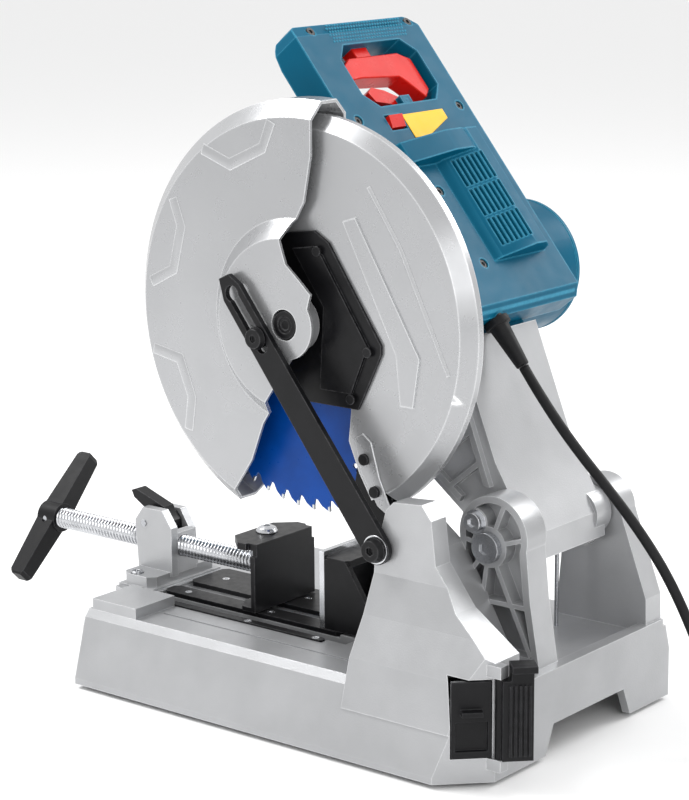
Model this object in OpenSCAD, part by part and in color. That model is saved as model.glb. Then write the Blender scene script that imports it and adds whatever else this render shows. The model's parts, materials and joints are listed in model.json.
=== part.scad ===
// Metal-cutting chop saw: a tilting head with a toothed 305 mm blade over a cast base with a vise.
// Millimetres, +Z up, +Y to the rear, +X to the operator's right.
// The origin is the centre of the four bench bolt holes, at the height of the bench.

/* [Blade] */
// Diameter over the teeth
blade_d = 305; // [295:1:305]
// Thickness of the steel disc
blade_t = 1.8; // [1.4:0.1:2]
// Diameter of the arbor hole
blade_bore = 25.4; // [20:0.1:25.4]
// Number of teeth
blade_teeth = 60; // [40:4:80]
// Height of the arbor above the bench with the head up
blade_h = 316; // [314:1:318]

/* [Head] */
// Outer radius of the fixed guard
fixed_guard_r = 158; // [157:0.5:159]
// Outer radius of the moving guard
lower_guard_r = 169; // [168:0.5:170]
// Thickness of the guard walls
guard_wall = 2.5; // [2:0.1:2.5]
// Radius of the motor casing
motor_r = 54; // [52:1:55]

/* [Base] */
// Height of the work table above the bench
table_z = 63; // [60:1:64]
// Diameter of the head's pivot shaft
pivot_d = 16; // [14:1:18]
// Diameter of each bench bolt hole
bench_hole_d = 9; // [7:0.5:10]
// Distance between bench bolt holes from left to right
bench_hole_dx = 220; // [210:1:224]
// Distance between bench bolt holes from front to rear
bench_hole_dy = 300; // [290:1:310]

/* [Vise] */
// Outer diameter of the vise screw
screw_d = 18; // [16:1:20]
// Lead of the vise screw
screw_lead = 6; // [4:1:6]
// Width of the vise jaw
jaw_w = 76; // [70:1:78]

/* [Cord] */
// Diameter of the mains lead
cord_d = 8; // [7:0.5:8]

/* [Hidden] */
$fn = 64;
blade_x = 50;
pivot_y = 153;
pivot_z = 156;
head_pitch = 51;
blade_r = blade_d / 2;
shaft_x0 = -184;
shaft_x1 = -14;
link_y = 94;
link_z = 158;
pin_y = -20;
pin_z = blade_h - 11;
link_tilt = atan2(pin_z - link_z, link_y - pin_y);
link_len = norm([pin_z - link_z, link_y - pin_y]);
screw_x = -40;
screw_z = 94;
handle_y = -331;
motor_s = 208;
motor_t = 20;
running_gap = 0.05;

light_grey = [0.80, 0.81, 0.82];
blue = [0.02, 0.38, 0.53];
black = [0.08, 0.08, 0.09];
red = [0.86, 0.12, 0.10];
zinc = [0.72, 0.73, 0.74];
steel = [0.55, 0.57, 0.60];

// Modules below work in a frame whose X = 0 is the plane of the blade
module at_blade() { translate([blade_x, 0, 0]) children(); }
// Extrudes an outline drawn in (Y, Z) from x0 to x1
module side(x0, x1) { translate([x0, 0, 0]) rotate([90, 0, 90]) linear_extrude(x1 - x0) children(); }
// Extrudes an outline drawn in (X, Z) from y0 to y1
module front(y0, y1) { translate([0, y1, 0]) rotate([90, 0, 0]) linear_extrude(y1 - y0) children(); }
// Extrudes an outline drawn in (X, Y) from z0 to z1
module flat(z0, z1) { translate([0, 0, z0]) linear_extrude(z1 - z0) children(); }
// Straight rods along the three axes
module rod_x(x0, x1, r, y, z) { translate([x0, y, z]) rotate([0, 90, 0]) cylinder(h = x1 - x0, r = r); }
module rod_y(y0, y1, r, x, z) { translate([x, y0, z]) rotate([-90, 0, 0]) cylinder(h = y1 - y0, r = r); }
module rod_z(z0, z1, r, x, y) { translate([x, y, z0]) cylinder(h = z1 - z0, r = r); }
module block(x0, x1, y0, y1, z0, z1) { translate([x0, y0, z0]) cube([x1 - x0, y1 - y0, z1 - z0]); }
module hex_head(h, r) { cylinder(h = h, r = r, $fn = 6); }
// Ring or sector about the arbor axis: an outline in (radius, x) swept between two angles from +Y
module arbor_ring(from = 0, to = 360) {
    translate([0, 0, blade_h]) rotate([0, 90, 0]) rotate([0, 0, from + 90])
        rotate_extrude(angle = to - from, $fn = 96) children();
}
// Frame of the motor housing: local X across, local -Y up the handle, local +Z out of its top face
module housing_frame() { translate([0, pivot_y, pivot_z]) rotate([-head_pitch, 0, 0]) children(); }
// Extrudes an outline drawn in (x, s) from t0 to t1, square to the housing's top face
module slab(t0, t1) {
    housing_frame() translate([0, 0, t0]) mirror([0, 1, 0]) linear_extrude(t1 - t0) children();
}
// Extrudes an outline drawn in (s, t) from x0 to x1
module lateral(x0, x1) {
    housing_frame() translate([x0, 0, 0]) rotate([90, 0, 90]) linear_extrude(x1 - x0)
        mirror([1, 0]) children();
}
// Rod along the housing's cross axis, and one square to its top face
module lateral_rod(x0, x1, r, s, t) {
    housing_frame() translate([x0, -s, t]) rotate([0, 90, 0]) cylinder(h = x1 - x0, r = r);
}
module slab_rod(t0, t1, r, x, s) { housing_frame() translate([x, -s, t0]) cylinder(h = t1 - t0, r = r); }
module box2(x0, x1, y0, y1) { translate([x0, y0]) square([x1 - x0, y1 - y0]); }
// Rectangle with its corners cut at 45 degrees
module cut_box(x0, x1, y0, y1, c) {
    polygon([[x0 + c, y0], [x1 - c, y0], [x1, y0 + c], [x1, y1 - c],
             [x1 - c, y1], [x0 + c, y1], [x0, y1 - c], [x0, y0 + c]]);
}
// Spur gear with straight-flanked teeth, one tooth centred on local +X turned by phase
function gear_points(n, m) = [for (i = [0:n - 1], k = [[-0.33, -1.15], [-0.14, 0.75], [0.14, 0.75], [0.33, -1.15]])
    let (a = (i + k[0] * 0.9) * 360 / n, r = n * m / 2 + k[1] * m) [r * cos(a), r * sin(a)]];
module gear(x0, x1, n, m, s, t, phase) {
    housing_frame() translate([x0, -s, t]) rotate([0, 90, 0]) rotate([0, 0, phase])
        linear_extrude(x1 - x0) polygon(gear_points(n, m));
}

// ---------------------------------------------------------------- base
module base_outline(d) {
    polygon([[83 - d, -188 + d], [83 - d, 175 - d * 0.4], [50 - d * 0.4, 208 - d], [-190 + d, 208 - d],
             [-190 + d, -188 + d], [-104, -188 + d], [-94, -214 + d], [6 - d, -214 + d], [14 - d, -188 + d]]);
}
module base_section(d, top) {
    front(-230, 230) polygon([[83 - d, -1], [83 - d, 8], [69 - d, top - 6], [64 - d, top],
                              [-184 + d, top], [-190 + d, top - 20], [-190 + d, -1]]);
}
// Outline of the tower that carries the guard link, and of the rear column
module tower_side(d) {
    polygon([[84 + d, 40], [88 + d, 150], [99 + d, 188 - d], [106, 195 - d], [132 - d, 197 - d],
             [141 - d, 186 - d], [145 - d, 152], [168 - d, 122 - d], [208 - d, 94 - d], [208 - d, 40]]);
}
module tower_front(d) {
    polygon([[20, 40], [20, 200], [38 - d, 200], [38 - d, 138], [50 - d, 108], [66 - d, 78], [75 - d, 40]]);
}
module tower(d) {
    intersection() {
        side(0, 90) tower_side(d);
        front(60, 230) tower_front(d);
        flat(30, 230) base_outline(d);
    }
}
module near_bracket() {
    difference() {
        side(-43, -18) union() {
            polygon([[122, 55], [127, 172], [187, 160], [191, 118], [202, 55]]);
            translate([157, 165]) circle(r = 31);
        }
        side(-30, -17) near_web();
    }
}
// Pockets between the ribs of the near bracket
module near_web() {
    difference() {
        union() {
            polygon([[129, 76], [132.5, 166], [181, 156], [185, 117], [193, 76]]);
            translate([157, 165]) circle(r = 25.5);
        }
        translate([pivot_y, pivot_z]) circle(r = 16);
        translate([141, 174]) circle(r = 10.5);
        for (a = [18, 68, 172, 232, 262, 296]) translate([pivot_y, pivot_z]) rotate(a)
            translate([0, -1.8]) square([88, 3.6]);
        box2(100, 220, 112, 115.6);
    }
}
module far_bracket() {
    side(-180, -158) union() {
        polygon([[120, 55], [129, 160], [179, 160], [205, 90], [206, 55]]);
        translate([154, 156]) circle(r = 26);
    }
}
module base_casting() {
    color(light_grey) at_blade() difference() {
        union() {
            intersection() {
                flat(3, 100) base_outline(0);
                base_section(0, table_z);
            }
            // Raised front platform beside the vise
            flat(table_z - 5, table_z + 9) polygon([[64, -184], [64, -136], [16, -136], [16, -184]]);
            // Foot of the vise block
            block(-84, 2, -214, -176, 50, table_z + 2);
            tower(0);
            near_bracket();
            far_bracket();
            // Curved chute behind the blade
            side(-20, 22) polygon([[99, 178], [128, 156], [149, 122], [170, 84], [176, 50],
                                   [168, 50], [163, 82], [142, 118], [122, 150], [95, 170]]);
            // Rear rim of the pocket between the brackets
            block(-180, 22, 198, 208, 50, table_z + 6);
            // Column for the depth stop
            rod_z(50, 84, 12, -100, 92);
            // Bosses of the bench bolts, which stand on the bench inside the rubber feet
            for (x = bench_x, y = bench_y) rod_z(0, 5, 5.9, x, y);
            // Lugs of the tray latch
            for (z = [13, 84.2]) block(45, 54.5, 203, 216, z, z + 9.3);
        }
        // Hollow underside
        difference() {
            intersection() {
                flat(-1, 56) base_outline(7);
                base_section(7, 55);
            }
            for (x = bench_x, y = bench_y) rod_z(-1, 70, 13, x, y);
            block(-190, 30, 96, 102, 20, 60);
            block(-96, -90, -200, 100, 20, 60);
            block(34, 40, -200, 100, 20, 60);
        }
        // Inside of the tower, open to the chip tray below
        difference() {
            tower(4.5);
            rod_x(20, 40, 14, link_y, link_z);
        }
        // Opening for the blade and the chips
        block(-6, 10, -173, 37, 50, 80);
        // Recess of the table plates, with their screw holes
        block(-86, 18, -172, 19, 60.5, 80);
        for (p = plate_screw_at) rod_z(50, 70, 1.8, p[0], p[1]);
        // Bench bolt holes, blind
        for (x = bench_x, y = bench_y) rod_z(-1, 45, bench_hole_d / 2, x, y);
        // Fence bolts
        rod_z(50, 70, 6.02, fence_pivot[0], fence_pivot[1]);
        rod_z(50, 70, 4.02, fence_pivot[0] + fence_slot_r, fence_pivot[1]);
        // Pivot shaft bores and the second bracket bolt
        rod_x(shaft_x0 - 2, 0, pivot_d / 2 + running_gap, pivot_y, pivot_z);
        rod_x(-44, -10, 4.05, 141, 174);
        // Link bolt
        rod_x(18, 50, 5.05, link_y, link_z);
        // Rear arch
        front(195, 230) polygon([[-14, -1], [-26, 26], [-123, 26], [-135, -1]]);
        // Chip tray opening through the chamfered corner
        tray_space(0);
        // Depth stop thread
        rod_z(50, 90, 4.05, -100, 92);
        // Shallow step along the near ledge
        block(36, 39, -131, 78, 61.5, 70);
        // Vise block bolts
        for (x = [-76, -6]) rod_z(50, 70, 3.05, x, -200);
        // Bore of the transport pin
        rod_x(-182, -150, 4.05, transport_y, transport_z);
    }
}
transport_y = 134;
transport_z = 140;
// Space of the chip tray: it slides out square to the chamfered corner
tray_dir = 45;
latch_hinge = [-21, 2.8];
module tray_frame() { translate([62.5, 195.5, 0]) rotate([0, 0, -tray_dir]) children(); }
module tray_space(d) {
    tray_frame() translate([-15.5 + d, -70, 22 + d]) cube([31 - 2 * d, 90, 60 - 2 * d]);
}
module table_plates() {
    color(black) at_blade() difference() {
        union() {
            flat(60.5, 64.5) cut_box(-24, -6.4, -171, 18, 4);
            flat(60.5, 64.5) cut_box(-85, -39, -171, 18, 4);
            flat(60.5, 64.5) cut_box(10.4, 17.6, -171, 18, 2);
        }
        for (p = plate_screw_at) {
            rod_z(55, 70, 1.8, p[0], p[1]);
            translate([p[0], p[1], 63]) cylinder(h = 1.6, r1 = 1.8, r2 = 3.4);
        }
    }
}
plate_screw_at = [[-15, -150], [-15, -60], [-15, 10], [-62, -150], [-62, -60], [-62, 10],
    [14, -150], [14, -60], [14, 10]];
module plate_screws() {
    color(steel) at_blade() for (p = plate_screw_at) difference() {
        union() {
            rod_z(58, 63, 1.77, p[0], p[1]);
            translate([p[0], p[1], 62.97]) cylinder(h = 1.5, r1 = 1.74, r2 = 3.2);
        }
        translate([p[0], p[1], 63.6]) hex_head(3, 1.4);
    }
}
module rubber_feet() {
    color(black) at_blade() for (x = bench_x, y = bench_y) difference() {
        rod_z(0, 3, 17, x, y);
        rod_z(-1, 4, 6.1, x, y);
    }
}
bench_x = [-blade_x - bench_hole_dx / 2, -blade_x + bench_hole_dx / 2];
bench_y = [-bench_hole_dy / 2, bench_hole_dy / 2];
// Hinge of the half nut, as (Y, Z)
nut_pin = [-207, 112];
module vise_block() {
    color(light_grey) at_blade() difference() {
        union() {
            // Foot bolted to the base
            flat(65, 74) cut_box(-82, 0, -213, -178, 6);
            // Two cheeks either side of the screw
            side(-58, -50) polygon([[-210, 70], [-215, 112], [-208, 122], [-190, 122], [-180, 106], [-178, 70]]);
            side(-31, -23) polygon([[-214, 70], [-217, 114], [-208, 126], [-186, 126], [-176, 112], [-176, 70]]);
            // Bridge with the plain bore that guides the screw
            side(-54, -26) polygon([[-212, 72], [-212, 88], [-204, 106], [-196, 106], [-196, 72]]);
            side(-54, -26) polygon([[-182, 72], [-182, 108], [-178, 106], [-176, 72]]);
        }
        rod_y(-220, -170, screw_d / 2 + 0.4, screw_x, screw_z);
        rod_x(-64, -16, 3.02, nut_pin[0], nut_pin[1]);
        // Room for the half nut
        block(-49.9, -31.1, -198, -182, 78, 130);
        block(-49.9, -31.1, -220, -182, 104.5, 130);
        for (x = [-76, -6]) {
            rod_z(50, 80, 3.05, x, -200);
            rod_z(71, 80, 5.6, x, -200);
        }
    }
}
module vise_block_bolts() {
    color(steel) at_blade() for (x = [-76, -6]) difference() {
        union() {
            rod_z(52, 72, 3, x, -200);
            rod_z(71, 76, 5, x, -200);
        }
        translate([x, -200, 74]) hex_head(4, 2.6);
    }
}
module quick_release() {
    color(black) at_blade() difference() {
        union() {
            // Half nut that drops on to the screw
            side(-49.4, -31.6) polygon([[-197, 96], [-188, 96], [-188, 114], [-193, 120], [-208, 118.2],
                [-213, 114], [-213, 109], [-208, 106], [-197, 105.5]]);
            // Thumb lever
            side(-46, -34) polygon([[-206, 116], [-228, 129], [-231, 135], [-226, 137], [-194, 126], [-190, 116]]);
        }
        rod_y(-240, -170, screw_d / 2 + running_gap, screw_x, screw_z);
        rod_x(-64, -16, 3.05, nut_pin[0], nut_pin[1]);
    }
}
module release_pin() {
    color(steel) at_blade() union() {
        rod_x(-60, -22, 3, nut_pin[0], nut_pin[1]);
        rod_x(-61, -58, 5, nut_pin[0], nut_pin[1]);
    }
}

// ---------------------------------------------------------------- vise screw and jaw
module vise_screw() {
    color(zinc) at_blade() difference() {
        union() {
            rod_y(-337, -92, screw_d / 2, screw_x, screw_z);
            rod_y(-93, -79, 6, screw_x, screw_z);
            rod_y(-80, -78, 8, screw_x, screw_z);
        }
        // Thread relief rings
        for (y = [-317 : screw_lead : -103]) difference() {
            rod_y(y, y + screw_lead * 0.45, screw_d, screw_x, screw_z);
            rod_y(y - 1, y + screw_lead, screw_d / 2 - 0.9, screw_x, screw_z);
        }
        rod_x(screw_x - 20, screw_x + 20, 2.55, handle_y, screw_z);
    }
}
handle_turn = 45;
module handle_frame() { translate([screw_x, handle_y, screw_z]) rotate([0, -handle_turn, 0]) children(); }
module t_handle() {
    color(black) at_blade() difference() {
        union() {
            intersection() {
                handle_frame() rotate([90, 0, 90]) translate([0, 0, -9]) linear_extrude(18)
                    polygon([[-10, 0], [-7.5, 60], [-5, 64], [5, 64], [7.5, 60], [10, 0],
                             [7.5, -60], [5, -64], [-5, -64], [-7.5, -60]]);
                handle_frame() rotate([90, 0, 0]) translate([0, 0, -20]) linear_extrude(40)
                    polygon([[-9, 0], [-7, 62], [-5, 65], [5, 65], [7, 62], [9, 0],
                             [7, -62], [5, -65], [-5, -65], [-7, -62]]);
            }
            rod_y(-340, -320, 12.5, screw_x, screw_z);
        }
        rod_y(-337, -300, screw_d / 2 + 0.02, screw_x, screw_z);
        rod_x(screw_x - 20, screw_x + 20, 2.55, handle_y, screw_z);
    }
}
module handle_pin() { color(steel) at_blade() rod_x(screw_x - 12.3, screw_x + 12.3, 2.5, handle_y, screw_z); }
jaw_y = -85;
module jaw_block() {
    // Swivel block: holds the screw's neck and carries the jaw on a vertical bolt
    color(steel) at_blade() difference() {
        rod_z(table_z + 6.8, 116, 13.8, screw_x, jaw_y);
        rod_y(-100, -91.95, screw_d / 2 + 0.4, screw_x, screw_z);
        rod_y(-93, -79, 6.05, screw_x, screw_z);
        rod_y(-80.05, -70, 8.3, screw_x, screw_z);
        rod_z(100.5, 120, 4.02, screw_x, jaw_y);
    }
}
module vise_jaw() {
    color(black) at_blade() difference() {
        union() {
            block(screw_x - jaw_w / 2, screw_x + jaw_w / 2, -70.5, -66, table_z + 2.2, 122);
            flat(116.05, 122) polygon([[screw_x - jaw_w / 2, -70], [screw_x + jaw_w / 2, -70],
                [screw_x + jaw_w / 2, -84], [screw_x + 24, -99], [screw_x - 24, -99],
                [screw_x - jaw_w / 2, -84]]);
            flat(table_z + 2.2, table_z + 6.2) polygon([[screw_x - jaw_w / 2, -70], [screw_x + jaw_w / 2, -70],
                [screw_x + jaw_w / 2, -80], [screw_x + 26, -88], [screw_x - 26, -88],
                [screw_x - jaw_w / 2, -80]]);
        }
        rod_z(110, 130, 4.05, screw_x, jaw_y);
        // Corner notches
        block(screw_x - 50, screw_x - jaw_w / 2 + 3, -75, -60, 112, 130);
        block(screw_x + jaw_w / 2 - 3, screw_x + 50, -75, -60, 112, 130);
    }
}
module jaw_bolt() {
    color(steel) at_blade() union() {
        rod_z(101, 123, 4, screw_x, jaw_y);
        difference() {
            translate([screw_x, jaw_y, 0]) rotate_extrude() polygon([[0, 122.05], [9, 122.05], [9, 123.2],
                [7.6, 125.6], [4.6, 127.2], [0, 127.6]]);
            translate([screw_x, jaw_y, 124.5]) hex_head(5, 3.2);
        }
    }
}

// ---------------------------------------------------------------- fence
fence_pivot = [-64, 26];
fence_slot_r = 40.5;
module fence_plate() {
    color(zinc) at_blade() difference() {
        block(-92, -7, -3, 2, table_z + 1.6, 128);
        block(-112, -84, -10, 10, 116, 130);
        for (x = [-74, -24]) rod_y(-5, 5, 3.05, x, 104);
    }
}
module fence_bracket() {
    color(black) at_blade() difference() {
        union() {
            // Foot on the table
            flat(64.55, 71.45) polygon([[-92, 2], [-7, 2], [-7, 44], [-28, 66], [-50, 66], [-92, 52]]);
            // Upright behind the plate
            block(-92, -7, 2, 8, 66, 122);
            // Top flange
            flat(118, 124) cut_box(-40, -7, 2, 26, 3);
            // Two gussets
            for (x = [-12, -90]) side(x, x + 5) polygon([[6, 68], [6, 122], [24, 122], [44, 92], [44, 68]]);
        }
        rod_z(60, 80, 6.05, fence_pivot[0], fence_pivot[1]);
        // Arc slot for the clamp bolt, centred on the pivot
        translate([fence_pivot[0], fence_pivot[1], 60]) rotate([0, 0, -8]) rotate_extrude(angle = 60)
            box2(36.2, 44.8, 0, 20);
        for (x = [-74, -24]) rod_y(0, 10, 3.05, x, 104);
    }
}
module fence_bolts() {
    color(steel) at_blade() union() {
        rod_z(51, 71.6, 6, fence_pivot[0], fence_pivot[1]);
        translate([fence_pivot[0], fence_pivot[1], 71.5]) hex_head(7, 10.5);
        rod_z(51, 71.6, 4, fence_pivot[0] + fence_slot_r, fence_pivot[1]);
        translate([fence_pivot[0] + fence_slot_r, fence_pivot[1], 71.5]) hex_head(6, 8);
    }
}

// ---------------------------------------------------------------- pivot, stops and springs
module pivot_shaft() {
    color(steel) at_blade() difference() {
        union() {
            rod_x(shaft_x0, shaft_x1, pivot_d / 2, pivot_y, pivot_z);
            rod_x(-18, -12, 12, pivot_y, pivot_z);
            rod_x(shaft_x0 - 5, -180.2, 11, pivot_y, pivot_z);
        }
        translate([-14, pivot_y, pivot_z]) rotate([0, 90, 0]) hex_head(4, 5);
    }
}
module bracket_bolts() {
    color(steel) at_blade() difference() {
        union() {
            rod_x(-42.5, -17, 4, 141, 174);
            rod_x(-18, -12, 7.5, 141, 174);
        }
        translate([-14, 141, 174]) rotate([0, 90, 0]) hex_head(4, 3.5);
    }
}
spring_x = -130;
// Torsion spring wound round the pivot shaft, drawn as a stack of rings joined by a bar
module return_spring() {
    color(steel) at_blade() union() {
        for (i = [0:7]) translate([spring_x + i * 4.4, pivot_y, pivot_z]) rotate([0, 90, 0])
            rotate_extrude() translate([13.5, 0]) circle(r = 1.9, $fn = 16);
        rod_x(spring_x, spring_x + 31, 1.5, pivot_y, pivot_z + 13.5);
        rod_z(table_z, pivot_z, 1.7, spring_x, pivot_y - 13.5);
    }
}
module link_bolt() {
    color(black) at_blade() difference() {
        union() {
            rod_x(20, 39.2, 5, link_y, link_z);
            rod_x(39, 46.4, 6, link_y, link_z);
            translate([46.4, link_y, link_z]) rotate([0, 90, 0]) cylinder(h = 5.5, r1 = 10, r2 = 8);
        }
        translate([49, link_y, link_z]) rotate([0, 90, 0]) hex_head(4, 3.5);
    }
}
module depth_stop() {
    color(steel) at_blade() union() {
        rod_z(56, 136.5, 4, -100, 92);
        translate([-100, 92, 84]) hex_head(6, 7.5);
        translate([-100, 92, 136]) hex_head(4.9, 7.5);
    }
}

// ---------------------------------------------------------------- arm
module arm_outline() {
    polygon([[146, 54], [54, 25], [-8, 16], [-25, 3], [-24, -12], [-8, -24], [40, -26], [100, -30], [146, -34]]);
}
module arm_casting() {
    color(light_grey) at_blade() difference() {
        union() {
            // Near plate, which also closes the back of the gear case
            lateral(-56, -46) polygon([[146, 48], [146, 54], [54, 25], [-8, 16], [-25, 3], [-24, -12], [-8, -24],
                [40, -26], [100, -40], [170, -66], [235, -66], [266, -40], [266, 20], [250, 44], [170, 48]]);
            lateral(-150, -140) arm_outline();
            // Rear wall
            lateral(-141, -55) polygon([[146, 54], [54, 25], [-8, 16], [-25, 3], [-19, -1], [-5, 9.5],
                [56, 18.5], [140, 45], [140, -34], [146, -34]]);
            // Front wall and cross ribs
            lateral(-141, -55) polygon([[146, -34], [100, -30], [52, -27], [52, -22], [100, -25], [146, -29]]);
            lateral(-141, -55) polygon([[88, -28], [94, -28], [94, 34], [88, 32]]);
            // Strengthening ribs on the outside of the near plate
            lateral(-46, -41) polygon([[40, 12], [120, 38], [120, 33], [44, 8]]);
            lateral(-46, -41) polygon([[46, -20], [110, -36], [110, -31], [48, -15]]);
            for (s = [58, 82, 106]) lateral(-46, -41) polygon([[s, -20], [s + 4, -20], [s + 4, 14 + (s - 58) / 3],
                [s, 13 + (s - 58) / 3]]);
            // Bosses on the pivot shaft
            rod_x(-60, -44, 20, pivot_y, pivot_z);
            rod_x(-156, -136, 20, pivot_y, pivot_z);
            rod_x(-150, -140, 10, transport_y, transport_z);
        }
        rod_x(-160, -40, pivot_d / 2 + running_gap, pivot_y, pivot_z);
        // Pocket for the return spring
        rod_x(spring_x - 3.5, spring_x + 34, 16, pivot_y, pivot_z);
        // Holes for the transport pin with the head up and with it down
        for (a = [0, -head_travel]) translate([0, pivot_y, pivot_z]) rotate([a, 0, 0])
            rod_x(-160, -130, 4.3, transport_y - pivot_y, transport_z - pivot_z);
        lateral_rod(-60, -40, 13.02, motor_s, motor_t);
        for (p = gear_screw_at) lateral_rod(-60, -40, 2.52, p[0], p[1]);
        lateral_rod(-52, -40, 11.05, idler_s, idler_t);
        lateral_rod(-52, -40, 14.05, arbor_s, arbor_t);
    }
}
head_travel = 38;
arbor_s = pivot_y * cos(head_pitch) + (blade_h - pivot_z) * sin(head_pitch);
arbor_t = -pivot_y * sin(head_pitch) + (blade_h - pivot_z) * cos(head_pitch);
gear_screw_at = [[166, -40], [254, -40], [166, 36]];

// ---------------------------------------------------------------- guards
module fixed_guard() {
    r = fixed_guard_r;
    w = guard_wall;
    color(light_grey) at_blade() difference() {
        union() {
            // Rim with chamfered shoulders
            intersection() {
                arbor_ring(-57, 104) polygon([[r - 10, 13], [r, 3], [r, -3], [r - 10, -13], [r - 12, -13],
                    [r - 12, -13 + w], [r - 10 - w * 0.4, -13 + w], [r - w, -3 + w * 0.4], [r - w, 3 - w * 0.4],
                    [r - 10 - w * 0.4, 13 - w], [r - 12, 13 - w], [r - 12, 13]]);
                block(-20, 20, -60, 200, 150, 500);
            }
            // Near wall
            intersection() {
                arbor_ring() box2(0, r - 11, 13 - w, 13);
                side(0, 20) polygon([[-40, 480], [-40, 380], [-12, 376], [10, 378], [22, 372], [68, 305], [60, 282],
                    [47, 256], [44, 228], [54, 204], [69, 179], [80, 172], [200, 172], [200, 480]]);
            }
            // Far wall
            intersection() {
                arbor_ring() box2(0, r - 11, -13, -13 + w);
                side(-20, 0) polygon([[-60, 480], [-60, 300], [-30, 272], [20, 262], [52, 254], [50, 228], [68, 179],
                    [80, 172], [200, 172], [200, 480]]);
            }
            // Raised panel on the near wall
            side(12.8, 14.2) polygon([[40, 396], [52, 400], [112, 300], [106, 262], [94, 262], [90, 300]]);
        }
        rod_x(-20, 0, 34, 0, blade_h);
        for (p = guard_screw_at) rod_x(5, 20, 2.05, p[0], p[1]);
        for (p = cover_screw_at) rod_x(5, 14, 2.05, p[0], p[1]);
        for (p = far_screw_at) rod_x(-20, 0, 2.52, p[0], p[1]);
    }
}
guard_screw_at = [[60, 216], [70, 192]];
cover_screw_at = [[50, 262], [18, 372], [66, 300]];
far_screw_at = [[42, blade_h], [0, blade_h + 42], [-40, blade_h + 6]];
module arbor_cover() {
    color(black) at_blade() difference() {
        union() {
            side(13, 15.5) polygon([[-34, 366], [-22, 380], [-10, 384], [13, 387], [27, 379], [77, 306], [77, 299],
                [67, 278], [55, 254], [8, 254], [-34, 280], [-46, 316]]);
            side(15, 18) polygon([[-6, 372], [13, 375], [22, 369], [66, 304], [50, 266], [20, 266], [24, 330]]);
            rod_x(13, 33, 17, 0, blade_h);
        }
        rod_x(0, 40, 12.5, 0, blade_h);
        for (p = cover_screw_at) rod_x(5, 20, 2.05, p[0], p[1]);
    }
}
module guard_screws() {
    color(black) at_blade() {
        for (p = cover_screw_at) {
            rod_x(7, 18.2, 2, p[0], p[1]);
            rod_x(18.1, 19.1, 4, p[0], p[1]);
        }
        for (p = guard_screw_at) {
            rod_x(7, 13.2, 2, p[0], p[1]);
            rod_x(13, 16.5, 4.5, p[0], p[1]);
        }
        for (p = far_screw_at) {
            rod_x(-19.5, -10.4, 2.5, p[0], p[1]);
            rod_x(-10.5, -8.5, 4.5, p[0], p[1]);
        }
    }
}
module chip_deflector() {
    color(black) at_blade() difference() {
        side(-9.5, 9.5) polygon([[52, 222], [64, 222], [74, 196], [80, 180], [74, 160], [58, 155], [46, 190]]);
        // Slot that the blade runs in
        rod_x(-3.5, 3.5, blade_r + 3, 0, blade_h);
        for (p = guard_screw_at) rod_x(5, 20, 2.05, p[0], p[1]);
    }
}
module lower_guard() {
    r = lower_guard_r;
    w = guard_wall;
    color(light_grey) at_blade() union() {
        intersection() {
            arbor_ring() polygon([[12, 36], [66, 36], [80, 22], [r - 13, 22], [r, 9], [r, -10], [r - 11, -21],
                [r - 26, -21], [r - 26, -21 + w], [r - 12, -21 + w], [r - w, -10 + w * 0.4], [r - w, 9 - w * 0.4],
                [r - 13 - w * 0.4, 22 - w], [80 - w * 0.4, 22 - w], [66 - w * 0.4, 36 - w], [12, 36 - w]]);
            side(-30, 45) union() {
                polygon([[16, 500], [16, 445], [9, 409], [-1, 392], [-4, 380], [2, 363], [15, 352], [26, 342],
                    [14, 300], [-1, 280], [-20, 253], [-34, 232], [-46, 201], [-66, 172], [-80, 140],
                    [-200, 140], [-200, 500]]);
                translate([0, blade_h]) circle(r = 27);
            }
        }
        arbor_ring() box2(17 + running_gap, 22, 20, 34);
    }
}
module guard_pin() {
    color(black) at_blade() difference() {
        union() {
            rod_x(36, 39.2, 8, pin_y, pin_z);
            rod_x(39, 45.4, 3.5, pin_y, pin_z);
            translate([45.2, pin_y, pin_z]) rotate([0, 90, 0]) cylinder(h = 4.5, r1 = 9, r2 = 7.5);
        }
        translate([47.5, pin_y, pin_z]) rotate([0, 90, 0]) hex_head(4, 3);
    }
}
module link_frame() { translate([0, link_y, link_z]) rotate([90 - link_tilt, 0, 0]) children(); }
module guard_link() {
    // Flat bar drawn upright from its lower bolt, then tilted forward on to the guard's pin
    top = 236;
    color(black) at_blade() link_frame() difference() {
        translate([39.5, 0, 0]) rotate([90, 0, 90]) linear_extrude(5) difference() {
            polygon(concat([[-10.5, top - 10], [-4, top + 6], [6, top + 4], [10.5, top - 8]],
                [for (a = [0:-15:-180]) [12 * cos(a), 12 * sin(a)]]));
            circle(r = 6.06);
            translate([0, link_len - 8]) circle(r = 5.2);
            translate([-5.05, link_len - 8]) square([10.1, top - link_len - 2]);
            translate([0, top - 10]) circle(r = 6.4);
        }
    }
}

// ---------------------------------------------------------------- gear case and motor
motor_to_idler = 25;
idler_to_arbor = 36;
centre_gap = norm([arbor_s - motor_s, arbor_t - motor_t]);
along = (pow(motor_to_idler, 2) - pow(idler_to_arbor, 2) + pow(centre_gap, 2)) / (2 * centre_gap);
across = sqrt(pow(motor_to_idler, 2) - pow(along, 2));
unit_s = (arbor_s - motor_s) / centre_gap;
unit_t = (arbor_t - motor_t) / centre_gap;
idler_s = motor_s + along * unit_s - across * unit_t;
idler_t = motor_t + along * unit_t + across * unit_s;
// Direction of one shaft from another, as an angle in the gear() module's own plane
function toward(s0, t0, s1, t1) = atan2(s0 - s1, t0 - t1);
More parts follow.
